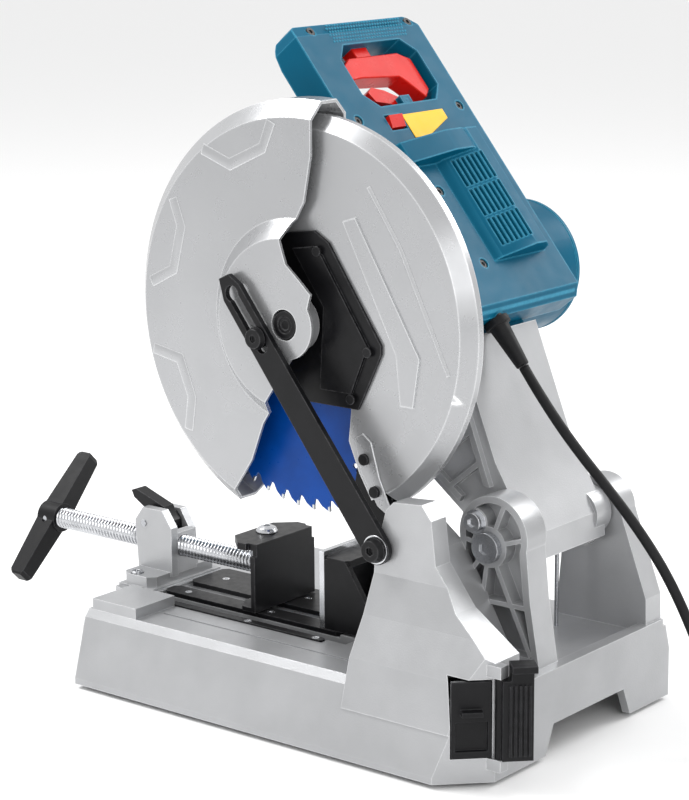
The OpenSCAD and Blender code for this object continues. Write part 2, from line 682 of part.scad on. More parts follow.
// Extrudes an outline drawn in (x, t) along the housing from s0 to s1
module along_handle(s0, s1) {
    housing_frame() translate([0, -s0, 0]) rotate([90, 0, 0]) linear_extrude(s1 - s0) children();
}
module gear_case_outline(d) {
    translate([arbor_s, arbor_t]) circle(r = 46 - d);
    translate([motor_s, motor_t]) circle(r = 28 - d);
    translate([idler_s, idler_t]) circle(r = 31 - d);
    polygon([[158 + d, -48 + d], [262 - d, -48 + d], [262 - d, 30 - d], [240, 44 - d],
             [172, 44 - d], [158 + d, 36]]);
}
module gear_housing() {
    color(light_grey) at_blade() difference() {
        union() {
            lateral(-46, -13) gear_case_outline(0);
            rod_x(-14, -10.6, 33.4, 0, blade_h);
            lateral_rod(-36, -24, 8, 270, arbor_t);
        }
        difference() {
            lateral(-47, -21.5) gear_case_outline(5);
            for (p = gear_screw_at) lateral_rod(-47, -20, 6, p[0], p[1]);
        }
        rod_x(-30, -14.5, 20.03, 0, blade_h);
        rod_x(-30, 0, 14, 0, blade_h);
        lateral_rod(-26, -15, 11.03, idler_s, idler_t);
        lateral_rod(-26, -17, 5, motor_s, motor_t);
        for (p = gear_screw_at) lateral_rod(-50, -30, 2.52, p[0], p[1]);
        for (p = far_screw_at) rod_x(-20, -5, 2.52, p[0], p[1]);
        // Bore of the spindle lock
        housing_frame() translate([-30, -240, arbor_t]) rotate([90, 0, 0]) cylinder(h = 50, r = 5.05);
    }
}
module motor_housing() {
    color(blue) at_blade() difference() {
        union() {
            lateral_rod(-226, -56.5, motor_r, motor_s, motor_t);
            // Lower pan under the switch box
            slab(44, 50) cut_box(-190, -38, 268, 341, 6);
            slab(20, 50) box2(-184, -57, 232, 270);
            // Pads under the two upper cover screws
            for (i = [6, 7]) slab_rod(60, 74, 6.4, housing_screw_at[i][0], housing_screw_at[i][1]);
            // Rib that joins the casing to the arm's top flange
            slab(30, 50) box2(-140, -57, 146, 172);
        }
        lateral_rod(-230, -56, motor_r - 4, motor_s, motor_t);
        slab(47, 60) box2(-172, -62, 274, 326);
        for (i = [2:7]) slab_rod(housing_screw_at[i][3] - 0.5, 80, 2.02, housing_screw_at[i][0], housing_screw_at[i][1]);
    }
}
// Lugs of the lock-off lever
module lock_off_lugs() { for (t = [54, 70.5]) slab(t, t + 5.5) box2(-131, -119, 336, 350); }
module handle_shell() {
    color(blue) at_blade() difference() {
        union() {
            intersection() {
                lateral(-192, -36) polygon([[150, 50], [150, 71], [158, 79], [412, 79], [423, 75], [427, 67],
                    [425, 58], [417, 53], [400, 50]]);
                slab(40, 90) polygon([[-36, 150], [-36, 412], [-40, 421], [-50, 426], [-114, 429], [-176, 427],
                    [-187, 421], [-192, 411], [-192, 150]]);
            }
            // Raised air outlet
            along_handle(192, 303) polygon([[-106, 78], [-114, 84], [-148, 95], [-162, 94], [-172, 87], [-176, 78]]);
            along_handle(284, 303) polygon([[-60, 78], [-70, 87], [-118, 96.5], [-140, 96], [-172, 86], [-175, 78]]);
        }
        difference() {
            union() {
                slab(40, 75) box2(-188, -40, 154, 337);
                along_handle(197, 298) polygon([[-112, 70], [-118, 81], [-148, 91], [-160, 90], [-168, 84], [-170, 70]]);
                // Hollow of the grip and the two arms of the handle
                slab(54, 75) box2(-67, -41, 330, 411);
                slab(54, 75) box2(-187, -175, 330, 411);
                slab(55, 74) box2(-184, -44, 405, 418);
            }
            for (p = housing_screw_at) slab_rod(p[2], 80, 6.5, p[0], p[1]);
        }
        // Finger opening
        difference() {
            slab(40, 90) cut_box(-170, -72, 341, 400, 13);
            lock_off_lugs();
        }
        slab(58.5, 71.5) box2(-123, -102, 398, 410);
        // Outlet slots with two cross ribs
        for (i = [0:6], j = [0:2]) slab(75, 100)
            box2(-149 + i * 4.6, -146.2 + i * 4.6, 201 + j * 27.5, 225.5 + j * 27.5);
        for (p = housing_screw_at) {
            slab_rod(p[3] - 0.5, 100, 2.02, p[0], p[1]);
            slab_rod(76.5, 100, 4.2, p[0], p[1]);
        }
        // Openings for the motor casing, the rocker, the lock-off pin and the lead
        lateral_rod(-200, -180, motor_r + 0.3, motor_s, motor_t);
        slab(60, 100) box2(-101.5, -81.5, 318.5, 332.5);
        slab_rod(54.5, 75.5, 2.55, -124, 345);
        housing_frame() translate([-85, -162, 66]) rotate([-90, 0, 0]) cylinder(h = 20, r = 7.05);
    }
}
// Cover screws as x, s, underside of their boss and tip of the screw
housing_screw_at = [[-58, 416, 56, 57], [-182, 416, 56, 57], [-50, 332, 50, 46], [-181, 332, 50, 46],
                    [-67, 260, 50, 46], [-94, 260, 50, 46], [-66, 192.5, 74, 69], [-93.5, 192.5, 74, 69]];
module housing_screws() {
    color(steel) at_blade() {
        for (p = housing_screw_at) difference() {
            union() {
                slab_rod(p[3], 77, 2, p[0], p[1]);
                slab_rod(76.5, 78, 3.9, p[0], p[1]);
            }
            housing_frame() translate([p[0], -p[1], 77]) hex_head(3, 1.9);
        }
        // Screws of the gear case
        for (p = gear_screw_at) {
            lateral_rod(-57, -30.5, 2.5, p[0], p[1]);
            lateral_rod(-59, -56, 4, p[0], p[1]);
        }
    }
}
module motor_end_cap() {
    color(blue) at_blade() difference() {
        union() {
            lateral_rod(-229, -226, motor_r + 0.5, motor_s, motor_t);
            housing_frame() translate([-229, -motor_s, motor_t]) rotate([0, -90, 0])
                cylinder(h = 9, r1 = motor_r + 0.5, r2 = motor_r - 7);
            lateral_rod(-228, -210, 15, motor_s, motor_t);
        }
        difference() {
            lateral_rod(-234, -225, motor_r - 8, motor_s, motor_t);
            lateral_rod(-235, -200, 15, motor_s, motor_t);
        }
        lateral_rod(-222, -200, 12.03, motor_s, motor_t);
        // Air inlet slots
        for (i = [-4:4]) if (i != 0) slab(-40, 80)
            box2(-240, -233.5, motor_s + i * 8 - 1.8, motor_s + i * 8 + 1.8);
    }
}
module stator() {
    color(steel) at_blade() difference() {
        lateral_rod(-172, -98, motor_r - 4.03, motor_s, motor_t);
        lateral_rod(-180, -90, 30, motor_s, motor_t);
        for (a = [0:90:270]) housing_frame() translate([-180, -motor_s, motor_t]) rotate([a, 0, 0])
            translate([0, -12, 34]) cube([90, 24, 8]);
    }
}
module carbon_brushes() {
    color(black) at_blade() for (a = [-1, 1]) housing_frame() difference() {
        union() {
            translate([-193, -motor_s - 4, motor_t]) translate([0, 0, a > 0 ? 15.3 : -29.3]) cube([12, 8, 14]);
            translate([-195, -motor_s - 6, motor_t]) translate([0, 0, a > 0 ? 22 : -49.5]) cube([16, 12, 27.5]);
        }
    }
}
module ring_x(x0, x1, r_out, r_in, s, t) {
    difference() {
        lateral_rod(x0, x1, r_out, s, t);
        lateral_rod(x0 - 1, x1 + 1, r_in, s, t);
    }
}
module bearings() {
    color(steel) at_blade() union() {
        ring_x(-21.4, -14.5, 20, 10 + running_gap, arbor_s, arbor_t);
        ring_x(-52, -46, 14, 8 + running_gap, arbor_s, arbor_t);
        ring_x(-21, -15, 11, 5 + running_gap, idler_s, idler_t);
        ring_x(-52, -46, 11, 5 + running_gap, idler_s, idler_t);
        ring_x(-56, -46, 13, 6 + running_gap, motor_s, motor_t);
        ring_x(-222, -212, 12, 6 + running_gap, motor_s, motor_t);
    }
}
module switch_unit() { color(black) at_blade() slab(47, 72) cut_box(-160, -110, 276, 322, 3); }
module blank_label() { color([0.93, 0.76, 0.10]) at_blade() slab(79, 79.6) polygon([[-103, 331], [-156, 331],
    [-156, 322], [-122, 309], [-103, 309]]); }
module laser_module() {
    color(black) at_blade() union() {
        lateral(-34, -13) polygon([[292.5, -30], [318, -30], [321, -26], [321, -10], [318, -6], [292.5, -6]]);
        lateral_rod(-24, -22, 14, 306.6, -18);
    }
}
module strain_relief() {
    color(black) at_blade() housing_frame() translate([-85, 0, 66]) union() {
        translate([0, -160, 0]) rotate([-90, 0, 0]) cylinder(h = 12, r = 7);
        translate([0, -149.8, 0]) rotate([-90, 0, 0]) cylinder(h = 6, r = 10.5);
        translate([0, -144, 0]) rotate([-90, 0, 0]) cylinder(h = 36, r1 = 8, r2 = cord_d / 2 + 1.2);
    }
}

// ---------------------------------------------------------------- controls
module trigger() {
    color(red) at_blade() union() {
        slab(57, 73) polygon([[-75, 371], [-75, 382], [-90, 391], [-152, 391], [-165, 384], [-165, 354],
            [-156, 347], [-143, 364], [-138, 369], [-92, 372]]);
        slab(59, 71) box2(-122, -103, 390, 410);
    }
}
module lock_off() {
    color([0.5, 0.05, 0.06]) at_blade() union() {
        slab(60, 70) polygon([[-128, 343.5], [-128, 351], [-113, 360], [-100, 364], [-93, 360], [-96, 351],
            [-112, 347], [-118, 343.5]]);
        slab_rod(54.7, 75.3, 2.5, -124, 345);
    }
}
module laser_switch() {
    color(red) at_blade() union() {
        lateral(-100, -83) polygon([[320.5, 74], [320.5, 79.5], [325.5, 81], [330.5, 82.5], [330.5, 74]]);
        // Rocker pin
        lateral_rod(-101, -82, 1.5, 325.5, 77);
    }
}
module spindle_lock() {
    color(black) at_blade() housing_frame() union() {
        translate([-30, -256, arbor_t]) rotate([90, 0, 0]) cylinder(h = 30, r = 5);
        translate([-30, -286, arbor_t]) rotate([90, 0, 0]) cylinder(h = 5, r1 = 7, r2 = 6);
    }
}
module transport_pin() {
    color(steel) at_blade() union() {
        rod_x(-198, -160, 4, transport_y, transport_z);
        rod_x(-212, -198, 9, transport_y, transport_z);
    }
}

// ---------------------------------------------------------------- arbor and blade
module arbor_shaft() {
    color(steel) at_blade() difference() {
        union() {
            rod_x(-52, -44, 8, 0, blade_h);
            rod_x(-45, -9, 10, 0, blade_h);
            rod_x(-10, 0.5, blade_bore / 2 - 0.05, 0, blade_h);
        }
        rod_x(-22, 2, 4.05, 0, blade_h);
    }
}
module blade_flanges() {
    color(zinc) at_blade() arbor_ring() union() {
        polygon([[12.72, -9], [24, -9], [30, -6], [30, -0.9], [12.72, -0.9]]);
        polygon([[4.2, 0.9], [30, 0.9], [30, 3], [22, 7], [4.2, 7]]);
    }
}
module arbor_bolt() {
    color(steel) at_blade() difference() {
        union() {
            rod_x(-20, 7, 4, 0, blade_h);
            rod_x(7, 13, 8.5, 0, blade_h);
        }
        translate([9, 0, blade_h]) rotate([0, 90, 0]) hex_head(5, 4.4);
    }
}
tip_len = 4;
function tooth(i) = let (p = 360 / blade_teeth, a = i * p, r = blade_r, w = 0.7)
    [for (q = [[0, r - 9], [0.18 * p, r - 8.6], [0.45 * p, r - 4], [0.84 * p, r - 0.5],
               [0.84 * p, r - tip_len], [0.84 * p + w, r - tip_len], [0.88 * p + w, r - 8]])
        [q[1] * cos(a + q[0]), q[1] * sin(a + q[0])]];
module saw_blade() {
    color([0.03, 0.25, 0.62]) at_blade() translate([-blade_t / 2, 0, blade_h]) rotate([0, 90, 0])
        linear_extrude(blade_t) difference() {
            polygon([for (i = [0:blade_teeth - 1], q = tooth(i)) q]);
            circle(r = blade_bore / 2);
            // Stress-relief slots with a round end
            for (a = [20:90:290]) rotate(a) union() {
                translate([118, 0]) circle(r = 2);
                translate([118, -0.4]) square([28, 0.8]);
            }
        }
}
module blade_tips() {
    color(zinc) at_blade() translate([0, 0, blade_h]) rotate([0, 90, 0]) for (i = [0:blade_teeth - 1])
        rotate([0, 0, (i + 0.84) * 360 / blade_teeth]) translate([blade_r - tip_len, 0, -1.1])
            cube([tip_len, 0.0122 * (blade_r - tip_len), 2.2]);
}
module output_gear() {
    color(steel) at_blade() difference() {
        gear(-41, -30, 27, 2, arbor_s, arbor_t, toward(arbor_s, arbor_t, idler_s, idler_t) + 180 / 27);
        rod_x(-50, -20, 10.02, 0, blade_h);
    }
}
module idler_gears() {
    color(steel) at_blade() union() {
        lateral_rod(-52, -15, 5, idler_s, idler_t);
        gear(-42, -29.5, 9, 2, idler_s, idler_t, toward(idler_s, idler_t, arbor_s, arbor_t));
        gear(-29.5, -22.5, 32, 1.25, idler_s, idler_t, toward(idler_s, idler_t, motor_s, motor_t) + 180 / 32);
    }
}
module armature() {
    color(steel) at_blade() union() {
        lateral_rod(-222, -55, 6, motor_s, motor_t);
        lateral_rod(-56, -44, 6, motor_s, motor_t);
        lateral_rod(-45, -22.5, 3.4, motor_s, motor_t);
        gear(-30, -22.5, 8, 1.25, motor_s, motor_t, toward(motor_s, motor_t, idler_s, idler_t));
        lateral_rod(-168, -102, 29, motor_s, motor_t);
        lateral_rod(-196, -176, 15, motor_s, motor_t);
        // Cooling fan
        lateral_rod(-74, -72, 44, motor_s, motor_t);
        lateral_rod(-76, -62, 12, motor_s, motor_t);
        for (a = [0:30:330]) housing_frame() translate([-72.5, -motor_s, motor_t]) rotate([a, 0, 0])
            translate([0, -1, 10]) cube([11, 2, 33]);
    }
}

// ---------------------------------------------------------------- chip tray
module chip_tray() {
    color(black) at_blade() tray_frame() difference() {
        union() {
            translate([-15, -66, 22.6]) cube([30, 66, 40]);
            translate([-15, -3, 22.6]) cube([30, 4.5, 58.6]);
            translate([-8, 1, 56]) cube([16, 7, 4]);
        }
        translate([-12.5, -63.5, 25]) cube([25, 60, 50]);
        translate([-12, -1.5, 28]) cube([24, 10, 22]);
    }
}
module tray_latch() {
    color(black) at_blade() tray_frame() difference() {
        union() {
            translate([-44, 0.3, 23]) cube([23, 11.7, 61]);
            translate([-44, 0.3, 83]) cube([16.5, 11.7, 9]);
            translate([-46, 0.3, 91]) cube([18.5, 16.7, 5]);
            for (i = [0:4]) translate([-42 + i * 3.6, 11, 27]) cube([1.8, 3, 54]);
            translate([latch_hinge[0], latch_hinge[1], 22.4]) cylinder(h = 61.7, r = 4);
        }
        translate([-41, -1, 27]) cube([15, 10, 54]);
    }
}

// ---------------------------------------------------------------- mains lead
// Points that the lead passes through from the strain relief to its coil, in the part's own frame
cord_route = [[-35, 137, 280.6], [-35, 145, 270], [-35, 158, 254], [-36, 173, 236], [-38, 190, 217],
    [-41, 208, 198], [-44, 226, 178], [-47, 243, 157], [-50, 258, 135], [-53, 270, 112], [-56, 280, 89],
    [-59, 289, 66], [-62, 298, 44], [-66, 309, 24], [-70, 324, 10], [-73, 344, 4], [-76, 360, 4], [-76, 375, 4]];
coil_x = -130;
coil_y = 411;
coil_r = 47;
cord_sides = 10;
function catmull(p, i, u) = let (a = p[max(i - 1, 0)], b = p[i], c = p[i + 1], d = p[min(i + 2, len(p) - 1)])
    0.5 * (2 * b + (c - a) * u + (2 * a - 5 * b + 4 * c - d) * u * u + (3 * b - a - 3 * c + d) * u * u * u);
cord_line = concat([for (i = [0:len(cord_route) - 2], u = [0, 0.5]) catmull(cord_route, i, u)],
    [cord_route[len(cord_route) - 1]]);
function unit(v) = v / norm(v);
function ring_at(p, i) = let (
    along_cord = unit(p[min(i + 1, len(p) - 1)] - p[max(i - 1, 0)]),
    up = unit(cross([1, 0, 0], along_cord)),
    over = cross(along_cord, up))
    [for (k = [0:cord_sides - 1]) let (a = 360 * k / cord_sides)
        p[i] + cord_d / 2 * (cos(a) * up + sin(a) * over)];
module tube(p) {
    n = len(p);
    m = cord_sides;
    polyhedron(points = [for (i = [0:n - 1], q = ring_at(p, i)) q],
        faces = concat([[for (k = [0:m - 1]) k]], [[for (k = [m - 1:-1:0]) (n - 1) * m + k]],
            [for (i = [0:n - 2], k = [0:m - 1])
                [i * m + k, (i + 1) * m + k, (i + 1) * m + (k + 1) % m, i * m + (k + 1) % m]]));
}
module cord() { color(black) tube(cord_line); }
module cord_coil() {
    color(black) translate([coil_x, coil_y, 0]) rotate_extrude() polygon([[coil_r - 13, 2], [coil_r - 11, 0],
        [coil_r + 11, 0], [coil_r + 13, 2], [coil_r + 13, 14], [coil_r + 11, 16], [coil_r - 11, 16], [coil_r - 13, 14]]);
}
module plug() {
    color(black) translate([coil_x - coil_r - 9, coil_y - 30, 12]) union() {
        rotate([90, 0, 0]) cylinder(h = 22, r1 = 5, r2 = 8);
        translate([0, -20, 0]) rotate([90, 0, 0]) linear_extrude(34)
            polygon([[-12, -12], [12, -12], [18, -6], [18, 6], [12, 12], [-12, 12], [-18, 6], [-18, -6]]);
        for (x = [-9.5, 9.5]) translate([x, -54, 0]) rotate([90, 0, 0]) cylinder(h = 19, r = 2.4);
    }
}

base_casting();
table_plates();
plate_screws();
rubber_feet();
vise_block();
vise_block_bolts();
pivot_shaft();
bracket_bolts();
return_spring();
link_bolt();
depth_stop();
fence_plate();
fence_bracket();
fence_bolts();
quick_release();
release_pin();
jaw_block();
vise_jaw();
jaw_bolt();
vise_screw();
t_handle();
handle_pin();
arm_casting();
fixed_guard();
arbor_cover();
guard_screws();
gear_housing();
motor_housing();
handle_shell();
motor_end_cap();
stator();
carbon_brushes();
bearings();
switch_unit();
housing_screws();
blank_label();
laser_module();
chip_deflector();
strain_relief();
trigger();
lock_off();
laser_switch();
spindle_lock();
transport_pin();
arbor_shaft();
blade_flanges();
arbor_bolt();
saw_blade();
blade_tips();
output_gear();
idler_gears();
armature();
lower_guard();
guard_pin();
guard_link();
chip_tray();
tray_latch();
cord();
cord_coil();
plug();
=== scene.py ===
"""Looks of the chop saw: surfaces, fine detail, the lead, a pale floor and soft studio light."""
import json
import math

import bmesh
import bpy
from mathutils import Matrix, Vector


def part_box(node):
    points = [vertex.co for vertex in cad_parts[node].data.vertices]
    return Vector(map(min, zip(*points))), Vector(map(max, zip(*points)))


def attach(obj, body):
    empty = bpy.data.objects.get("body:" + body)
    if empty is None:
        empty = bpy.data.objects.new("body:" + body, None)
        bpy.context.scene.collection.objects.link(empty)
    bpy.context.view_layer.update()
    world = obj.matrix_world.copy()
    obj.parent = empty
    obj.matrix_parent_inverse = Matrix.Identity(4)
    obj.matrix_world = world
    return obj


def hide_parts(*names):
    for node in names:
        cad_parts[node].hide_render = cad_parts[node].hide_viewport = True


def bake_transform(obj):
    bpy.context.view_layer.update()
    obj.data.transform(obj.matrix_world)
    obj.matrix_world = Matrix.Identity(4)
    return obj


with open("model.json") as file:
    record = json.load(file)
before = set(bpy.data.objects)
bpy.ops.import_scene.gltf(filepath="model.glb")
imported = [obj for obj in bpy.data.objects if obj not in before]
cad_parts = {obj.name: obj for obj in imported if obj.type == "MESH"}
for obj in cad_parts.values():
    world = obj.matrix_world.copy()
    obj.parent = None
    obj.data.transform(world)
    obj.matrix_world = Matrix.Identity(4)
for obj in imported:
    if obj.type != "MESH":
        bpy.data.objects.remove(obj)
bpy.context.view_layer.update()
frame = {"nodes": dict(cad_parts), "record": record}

MM = 0.001
BLADE_X = 0.050
BLADE_H = 0.316
PIVOT = Vector((BLADE_X, 0.153, 0.156))
PITCH = math.radians(51)
# Housing frame: ACROSS to the right, UP_HANDLE along the handle, OUT of its top face
ACROSS = Vector((1, 0, 0))
UP_HANDLE = Vector((0, -math.cos(PITCH), math.sin(PITCH)))
OUT = Vector((0, math.sin(PITCH), math.cos(PITCH)))
BODY_OF = {node: body for body, nodes in frame["record"]["behaviour"]["bodies"].items()
           for node in nodes}
SLOT_OF = {part["node"]: part["material_slot"] for part in frame["record"]["subparts"]}
# Vertices nearer to each other than this are welded, in metres
WELD = 0.00001


def housing(x, s, t):
    """Point of the row frame from millimetres in the housing frame, x counted from the blade."""
    return PIVOT + MM * (x * ACROSS + s * UP_HANDLE + t * OUT)


# ---------------------------------------------------------------- camera
CAMERA_AT = (1.5051, 1.1995, 0.6831)
AZIMUTH, ELEVATION, ROLL = math.radians(128.8), math.radians(12.9), math.radians(-0.4)
FOCAL = 112.5


def make_camera():
    """The camera that was fitted to the object's outlines."""
    back = Vector((math.sin(AZIMUTH) * math.cos(ELEVATION),
                   -math.cos(AZIMUTH) * math.cos(ELEVATION),
                   math.sin(ELEVATION)))
    right = Vector((0, 0, 1)).cross(back).normalized()
    up = back.cross(right)
    tilted_right = right * math.cos(ROLL) + up * math.sin(ROLL)
    tilted_up = up * math.cos(ROLL) - right * math.sin(ROLL)
    data = bpy.data.cameras.new("camera")
    data.lens = FOCAL
    data.sensor_width = 36
    data.clip_start = 0.05
    data.clip_end = 50
    camera = bpy.data.objects.new("camera", data)
    axes = Matrix((tilted_right, tilted_up, back)).transposed().to_4x4()
    camera.matrix_world = Matrix.Translation(CAMERA_AT) @ axes
    bpy.context.scene.collection.objects.link(camera)
    bpy.context.scene.camera = camera


make_camera()

# ---------------------------------------------------------------- the lead
CORD_D = 0.008
# The route of part.scad, in metres, except for the last two points, which are at y .360 and .375 there
CORD_ROUTE = [
    (-.035, .137, .2806), (-.035, .145, .270), (-.035, .158, .254), (-.036, .173, .236),
    (-.038, .190, .217), (-.041, .208, .198), (-.044, .226, .178), (-.047, .243, .157),
    (-.050, .258, .135), (-.053, .270, .112), (-.056, .280, .089), (-.059, .289, .066),
    (-.062, .298, .044), (-.066, .309, .024), (-.070, .324, .010), (-.073, .344, .004),
    (-.076, .362, .004), (-.076, .382, .004)]
# The coil's centre, its radii, and how its turns are shared between the ground, the ramp and the top
COIL_AT = (-0.130, 0.411)
COIL_OUT, COIL_IN = 0.054, 0.034
INNER_TURNS, RAMP_TURNS, ALL_TURNS = 2.5, 0.25, 5.5
COIL_STEPS = 24
# The last stretch towards the plug: how far each point is from the coil's centre, and their height
TAIL_BACK, TAIL_HEIGHT = (0.015, 0.030), 0.012


def coil_points():
    """Turns in two layers: inwards on the ground, up a short ramp, then outwards on top."""
    points = []
    for i in range(int(ALL_TURNS * COIL_STEPS) + 1):
        turn = i / COIL_STEPS
        up = INNER_TURNS + RAMP_TURNS
        if turn <= INNER_TURNS:
            radius, height = COIL_OUT - CORD_D * turn, CORD_D * 0.5
        elif turn <= up:
            radius, height = COIL_IN, CORD_D * (0.5 + (turn - INNER_TURNS) / RAMP_TURNS)
        else:
            radius, height = COIL_IN + CORD_D * (turn - up), CORD_D * 1.5
        angle = 2 * math.pi * turn
        points.append((COIL_AT[0] + radius * math.cos(angle),
                       COIL_AT[1] + radius * math.sin(angle), height))
    return points


def make_cord():
    """The lead as a mesh tube, with the points of its centre line and its length."""
    coil = coil_points()
    end_x = coil[-1][0]
    tail = [(end_x, COIL_AT[1] - back, TAIL_HEIGHT) for back in TAIL_BACK]
    points = CORD_ROUTE + coil + tail
    data = bpy.data.curves.new("cord", "CURVE")
    data.dimensions = "3D"
    data.bevel_depth = CORD_D / 2
    data.bevel_resolution = 5
    data.resolution_u = 6
    data.use_fill_caps = True
    spline = data.splines.new("NURBS")
    spline.points.add(len(points) - 1)
    for point, place in zip(spline.points, points):
        point.co = (*place, 1)
    spline.order_u = 4
    spline.use_endpoint_u = True
    curve = bpy.data.objects.new("mains_lead_curve", data)
    bpy.context.scene.collection.objects.link(curve)
    tube = mesh_of(curve)
    data.bevel_depth = 0
    line = mesh_of(curve)
    path = [tuple(vertex.co) for vertex in line.vertices]
    bpy.data.objects.remove(curve)
    for polygon in tube.polygons:
        polygon.use_smooth = True
    cord = bpy.data.objects.new("mains_lead", tube)
    bpy.context.scene.collection.objects.link(cord)
    total = sum((Vector(a) - Vector(b)).length for a, b in zip(path, path[1:]))
    return cord, path, total


def mesh_of(curve):
    """The mesh of a curve as it stands, welded where it has faces."""
    bpy.context.view_layer.update()
    depsgraph = bpy.context.evaluated_depsgraph_get()
    mesh = bpy.data.meshes.new_from_object(curve.evaluated_get(depsgraph))
    if mesh.polygons:
        shape = bmesh.new()
        shape.from_mesh(mesh)
        bmesh.ops.remove_doubles(shape, verts=shape.verts, dist=WELD)
        bmesh.ops.recalc_face_normals(shape, faces=shape.faces)
        shape.to_mesh(mesh)
        shape.free()
    return mesh


lead, lead_path, lead_length = make_cord()


# ---------------------------------------------------------------- materials
# How far from an edge the painted highlight and the rubbed paint reach, in metres
HIGHLIGHT_AND_WEAR_WIDTH = 0.0012
# Cosine between a face and its rounded edge where the painted highlight and wear start and where they
# are full
HIGHLIGHT_AND_WEAR_STARTS, HIGHLIGHT_AND_WEAR_FULL = 0.995, 0.90
COAT_ROUGHNESS = 0.12
DUST_COLOUR = (0.42, 0.40, 0.38)


def surface(name, colour, rough, metal=0.0, grain=0.0, grain_size=0.001, mottle=0.06,
            mottle_size=0.04, edge_highlight_and_wear=None, highlight_and_wear_amount=0.0, coat=0.0, stretch=None, dust=0.0,
            specular=0.5, highlight_and_wear_width=HIGHLIGHT_AND_WEAR_WIDTH, steady_highlight_share=0.0):
    """Procedural finish: mottled colour, painted edge highlights broken by noise like rubbed paint,
    dust on top, uneven gloss and a fine grain.
    """
    material = bpy.data.materials.new(name)
    material.use_nodes = True
    tree = material.node_tree
    nodes, links = tree.nodes, tree.links
    nodes.clear()
    out = nodes.new("ShaderNodeOutputMaterial")
    shader = nodes.new("ShaderNodeBsdfPrincipled")
    links.new(shader.outputs[0], out.inputs[0])
    shader.inputs["Metallic"].default_value = metal
    shader.inputs["Coat Weight"].default_value = coat
    shader.inputs["Coat Roughness"].default_value = COAT_ROUGHNESS
    shader.inputs["Specular IOR Level"].default_value = specular
    place = nodes.new("ShaderNodeTexCoord")
    scale = nodes.new("ShaderNodeMapping")
    links.new(place.outputs["Object"], scale.inputs[0])
    if stretch:
        scale.inputs["Scale"].default_value = stretch

    def noise(size, detail=3.0, roughness=0.5):
        node = nodes.new("ShaderNodeTexNoise")
        node.inputs["Scale"].default_value = 1 / size
        node.inputs["Detail"].default_value = detail
        node.inputs["Roughness"].default_value = roughness
        links.new(scale.outputs[0], node.inputs["Vector"])
        return node.outputs["Fac"]

    def remap(value, low, high, to_low, to_high):
        node = nodes.new("ShaderNodeMapRange")
        sockets = ("From Min", "From Max", "To Min", "To Max")
        for socket, number in zip(sockets, (low, high, to_low, to_high)):
            node.inputs[socket].default_value = number
        links.new(value, node.inputs["Value"])
        return node.outputs["Result"]

    def blend(factor, first, second):
        node = nodes.new("ShaderNodeMix")
        node.data_type = "RGBA"
        links.new(factor, node.inputs[0])
        for socket, value in ((node.inputs[6], first), (node.inputs[7], second)):
            if isinstance(value, tuple):
                socket.default_value = (*value, 1)
            else:
                links.new(value, socket)
        return node.outputs[2]

    darker = tuple(c * (1 - mottle) for c in colour)
    lighter = tuple(min(1, c * (1 + mottle * 0.6)) for c in colour)
    tint = blend(remap(noise(mottle_size), 0.35, 0.65, 0, 1), darker, lighter)
    # Painted edge highlight: rounded edges get a lighter colour where light would catch them. Noise
    # breaks it like rubbed paint, and a steady share keeps it along the whole edge.
    if edge_highlight_and_wear:
        geometry = nodes.new("ShaderNodeNewGeometry")
        round_edge = nodes.new("ShaderNodeBevel")
        round_edge.samples = 4
        round_edge.inputs["Radius"].default_value = highlight_and_wear_width
        facing = nodes.new("ShaderNodeVectorMath")
        facing.operation = "DOT_PRODUCT"
        links.new(geometry.outputs["True Normal"], facing.inputs[0])
        links.new(round_edge.outputs[0], facing.inputs[1])
        edge = remap(facing.outputs["Value"], HIGHLIGHT_AND_WEAR_STARTS, HIGHLIGHT_AND_WEAR_FULL, 0, 1)
        broken_highlight_and_wear = remap(noise(0.005, 5, 0.7), 0.40, 0.60, highlight_and_wear_amount * steady_highlight_share, highlight_and_wear_amount)
        both = nodes.new("ShaderNodeMath")
        both.operation = "MULTIPLY"
        links.new(edge, both.inputs[0])
        links.new(broken_highlight_and_wear, both.inputs[1])
        tint = blend(both.outputs[0], tint, edge_highlight_and_wear)
    if dust:
        geometry = nodes.new("ShaderNodeNewGeometry")
        split = nodes.new("ShaderNodeSeparateXYZ")
        links.new(geometry.outputs["Normal"], split.inputs[0])
        up = remap(split.outputs["Z"], 0.4, 1.0, 0, dust)
        patch = remap(noise(0.015, 6, 0.7), 0.40, 0.75, 0, 1)
        both = nodes.new("ShaderNodeMath")
        both.operation = "MULTIPLY"
        links.new(up, both.inputs[0])
        links.new(patch, both.inputs[1])
        tint = blend(both.outputs[0], tint, DUST_COLOUR)
    links.new(tint, shader.inputs["Base Color"])
    smudges = noise(mottle_size * 0.3, 4, 0.6)
    links.new(remap(smudges, 0.3, 0.7, rough * 0.85, min(1, rough * 1.18)),
              shader.inputs["Roughness"])
    if grain:
        bump = nodes.new("ShaderNodeBump")
        bump.inputs["Strength"].default_value = grain
        bump.inputs["Distance"].default_value = grain_size * 0.25
        links.new(noise(grain_size, 2), bump.inputs["Height"])
        links.new(bump.outputs[0], shader.inputs["Normal"])
    return material


